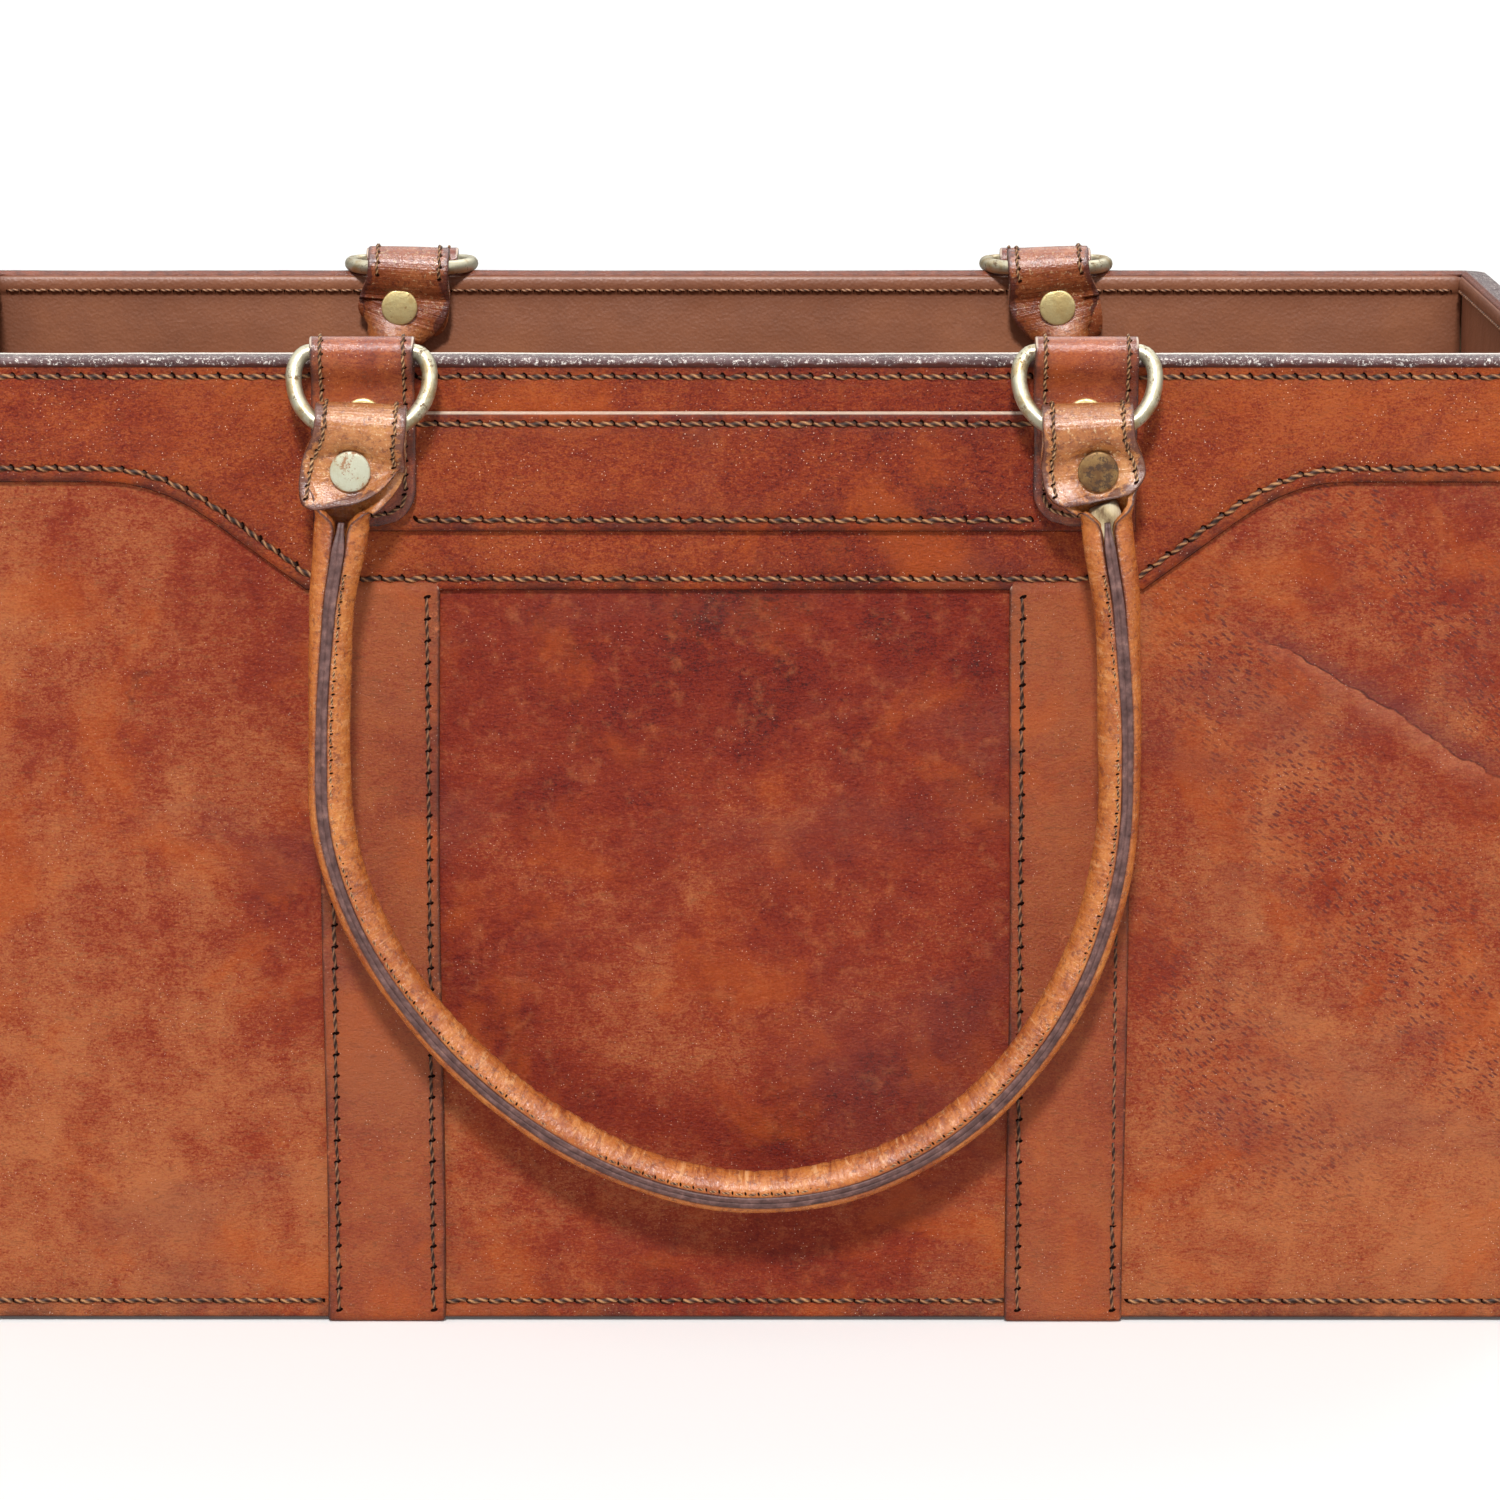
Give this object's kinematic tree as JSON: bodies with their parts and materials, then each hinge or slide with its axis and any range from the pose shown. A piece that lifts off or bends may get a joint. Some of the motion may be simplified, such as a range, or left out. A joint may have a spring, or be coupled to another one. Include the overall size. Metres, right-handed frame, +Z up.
{
  "type": "leather knitting bag",
  "caption": "Rigid open-topped leather knitting bag with a stitched yoke, wrap-around straps and two rolled handles that swing on D-rings.",
  "frame": {"origin": "bottom centre of the whole bag's box at rest, on the ground", "axes": "+X along the bag to the right seen from its front, +Y from front to back, +Z up"},
  "size_m": [0.424, 0.2414, 0.2544],
  "materials": {
    "panel_leather": "waxed cognac saddle leather, mottled, satin",
    "trim_leather": "waxed red-brown saddle leather, satin",
    "tab_leather": "dark red-brown leather, polished by use",
    "handle_leather": "tan leather, worn, satin",
    "lining_leather": "smooth brown lining leather, satin",
    "stiffener_board": "pressed fibre board",
    "core_rope": "cotton filler cord",
    "ring_metal": "nickel-washed brass, worn",
    "rivet_brass": "bright brass, tarnished"
  },
  "bodies": {
    "root": {"front_panel": "panel_leather", "front_stiffener": "stiffener_board", "front_lining": "lining_leather", "front_yoke": "trim_leather", "front_band": "trim_leather", "front_left_ring_tab": "tab_leather", "front_left_tab_rivet": "rivet_brass", "front_right_ring_tab": "tab_leather", "front_right_tab_rivet": "rivet_brass", "back_panel": "panel_leather", "back_stiffener": "stiffener_board", "back_lining": "lining_leather", "back_yoke": "trim_leather", "back_band": "trim_leather", "back_left_ring_tab": "tab_leather", "back_left_tab_rivet": "rivet_brass", "back_right_ring_tab": "tab_leather", "back_right_tab_rivet": "rivet_brass", "left_side_panel": "panel_leather", "left_side_stiffener": "stiffener_board", "left_side_lining": "lining_leather", "left_side_yoke": "trim_leather", "right_side_panel": "panel_leather", "right_side_stiffener": "stiffener_board", "right_side_lining": "lining_leather", "right_side_yoke": "trim_leather", "base_panel": "panel_leather", "base_stiffener": "stiffener_board", "base_lining": "lining_leather", "left_wrap_strap": "trim_leather", "right_wrap_strap": "trim_leather"},
    "front_left_ring": {"front_left_ring": "ring_metal"},
    "front_right_ring": {"front_right_ring": "ring_metal"},
    "back_left_ring": {"back_left_ring": "ring_metal"},
    "back_right_ring": {"back_right_ring": "ring_metal"},
    "front_handle": {"front_handle_cover": "handle_leather", "front_handle_core": "core_rope", "front_left_handle_rivet": "rivet_brass", "front_right_handle_rivet": "rivet_brass"},
    "back_handle": {"back_handle_cover": "handle_leather", "back_handle_core": "core_rope", "back_left_handle_rivet": "rivet_brass", "back_right_handle_rivet": "rivet_brass"}
  },
  "joints": [
    {"name": "front_left_ring_swing", "type": "hinge", "parent": "root", "child": "front_left_ring", "pos_m": [-0.089, -0.1069, 0.2484], "axis": [-1, 0, 0], "range_deg": [0, 156]},
    {"name": "front_right_ring_swing", "type": "hinge", "parent": "root", "child": "front_right_ring", "pos_m": [0.089, -0.1069, 0.2484], "axis": [-1, 0, 0], "range_deg": [0, 156]},
    {"name": "front_handle_swing", "type": "hinge", "parent": "front_left_ring", "child": "front_handle", "pos_m": [-0.089, -0.11475, 0.23077], "axis": [-1, 0, 0], "range_deg": [0, 110]},
    {"name": "back_left_ring_swing", "type": "hinge", "parent": "root", "child": "back_left_ring", "pos_m": [-0.089, 0.1169, 0.2484], "axis": [-1, 0, 0], "range_deg": [0, 246]},
    {"name": "back_right_ring_swing", "type": "hinge", "parent": "root", "child": "back_right_ring", "pos_m": [0.089, 0.1169, 0.2484], "axis": [-1, 0, 0], "range_deg": [0, 246]},
    {"name": "back_handle_swing", "type": "hinge", "parent": "back_left_ring", "child": "back_handle", "pos_m": [-0.089, 0.0976, 0.2484], "axis": [-1, 0, 0], "range_deg": [0, 114]}
  ],
  "couplings": [
    {"joint": "front_right_ring_swing", "follows": "front_left_ring_swing", "ratio": 1},
    {"joint": "back_right_ring_swing", "follows": "back_left_ring_swing", "ratio": 1},
    {"joint": "back_handle_swing", "follows": "back_left_ring_swing", "ratio": 0.4634}
  ]
}
